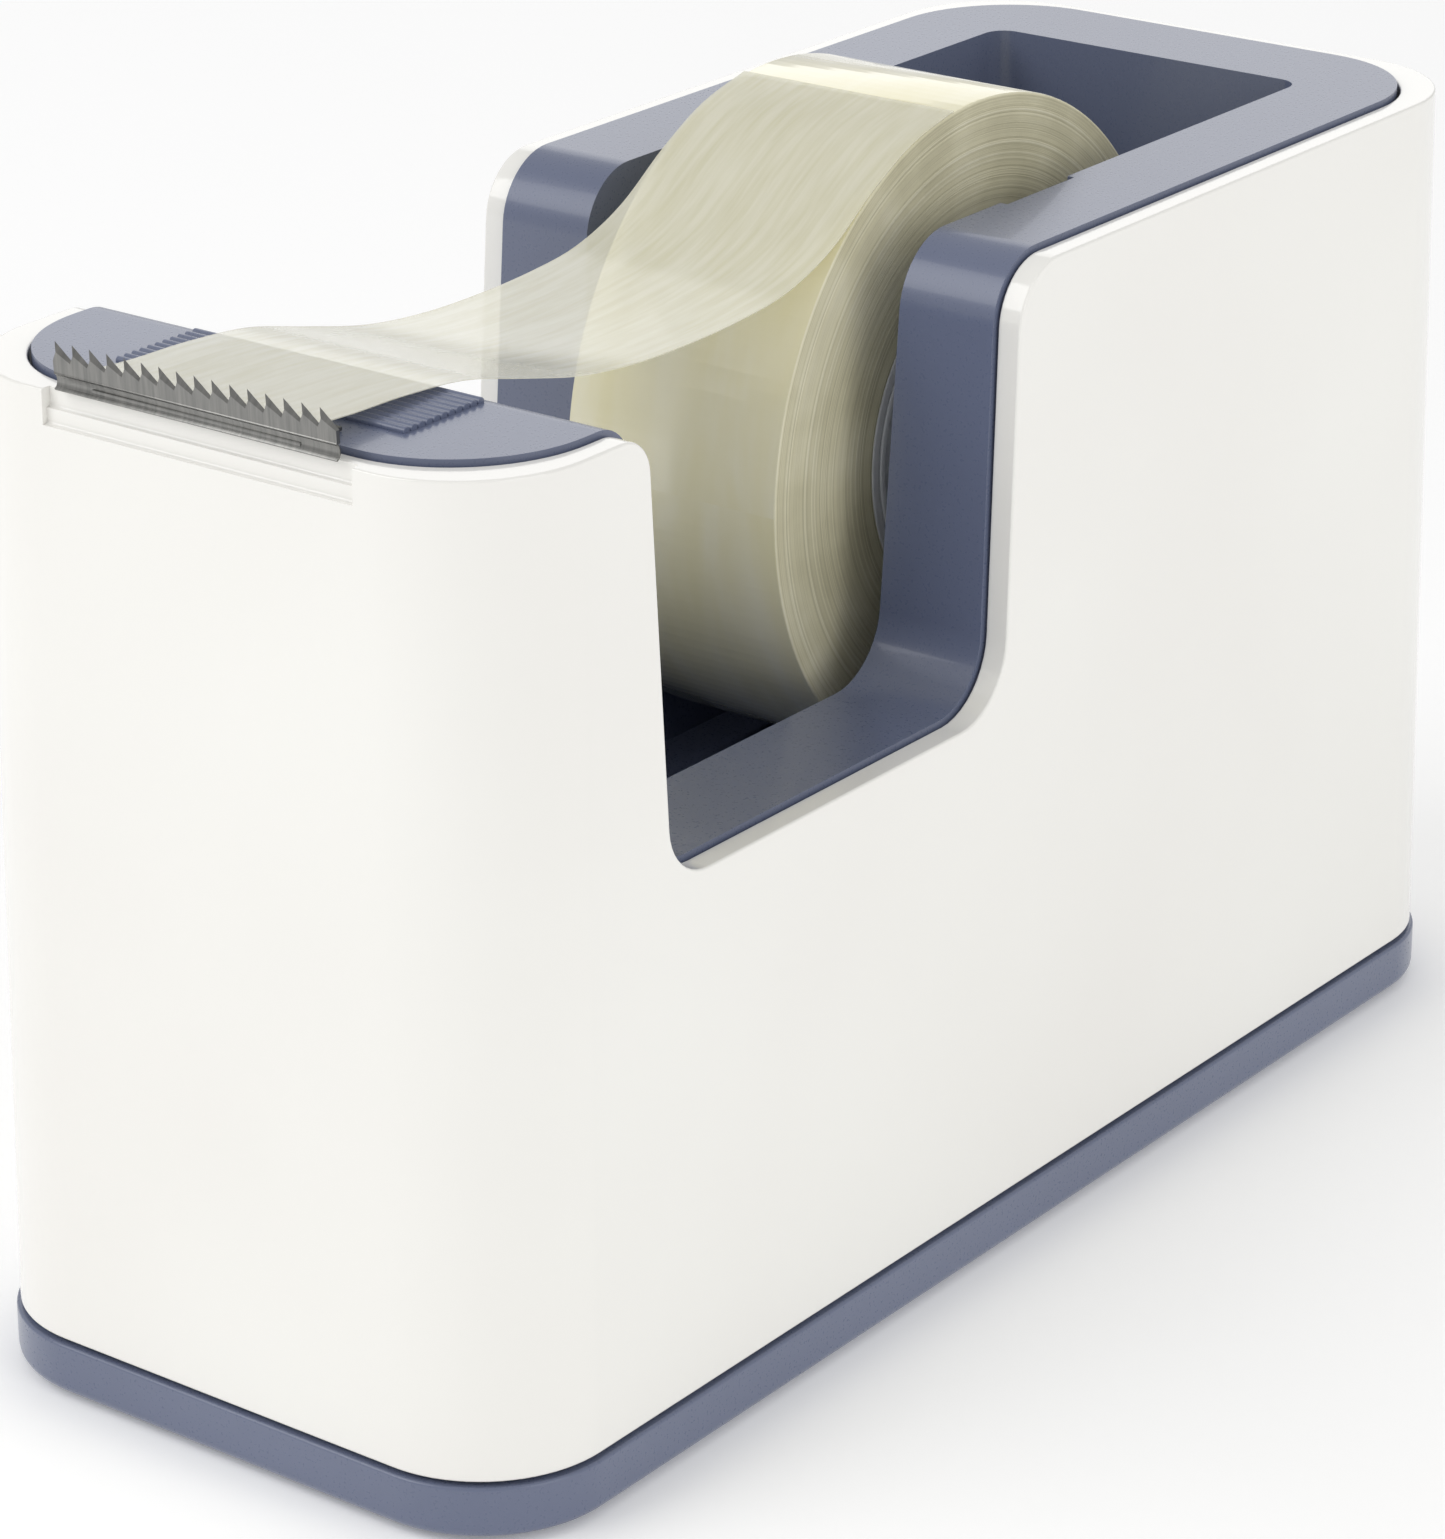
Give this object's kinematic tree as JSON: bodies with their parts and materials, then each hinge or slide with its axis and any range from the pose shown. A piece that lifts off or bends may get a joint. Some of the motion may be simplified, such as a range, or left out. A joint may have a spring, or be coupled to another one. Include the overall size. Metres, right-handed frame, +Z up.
{
  "type": "tape dispenser",
  "caption": "Weighted desk tape dispenser: tall white sleeve over a blue-grey well with a drop-in reel of clear tape, a side notch and a serrated steel cutter.",
  "frame": {"origin": "on the desk, below the middle of the base", "axes": "+Z up, +Y along the length away from the cutter, +X across to the right when seen from the cutter end"},
  "size_m": [0.051, 0.1264, 0.0823],
  "materials": {
    "white_shell": "gloss",
    "slate_plastic": "satin",
    "cutter_steel": "ground",
    "plated_steel": "zinc plated",
    "ballast": "blackened",
    "foot_rubber": "matte",
    "hub_plastic": "translucent satin",
    "core_plastic": "satin",
    "tape_roll": "gloss",
    "tape_film": "clear film"
  },
  "bodies": {
    "root": {"outer_shell": "white_shell", "tape_well": "slate_plastic", "base_tray": "slate_plastic", "cutter_blade": "cutter_steel", "base_screws": "plated_steel", "ballast_screws": "plated_steel", "ballast_plate_1": "ballast", "ballast_plate_2": "ballast", "ballast_plate_3": "ballast", "ballast_plate_4": "ballast", "ballast_plate_5": "ballast", "foot_front_left": "foot_rubber", "foot_front_right": "foot_rubber", "foot_rear_left": "foot_rubber", "foot_rear_right": "foot_rubber"},
    "loose_end": {"tape_end": "tape_film"},
    "reel": {"hub_left": "hub_plastic", "hub_right": "hub_plastic", "tape_core": "core_plastic", "tape_windings": "tape_roll"}
  },
  "joints": [
    {"name": "reel_lift", "type": "slide", "parent": "root", "child": "loose_end", "axis": [0, 0, 1], "range_m": [0, 0.06]},
    {"name": "reel_spin", "type": "hinge", "parent": "loose_end", "child": "reel", "pos_m": [0, 0.0135, 0.0569], "axis": [1, 0, 0], "continuous": true}
  ]
}
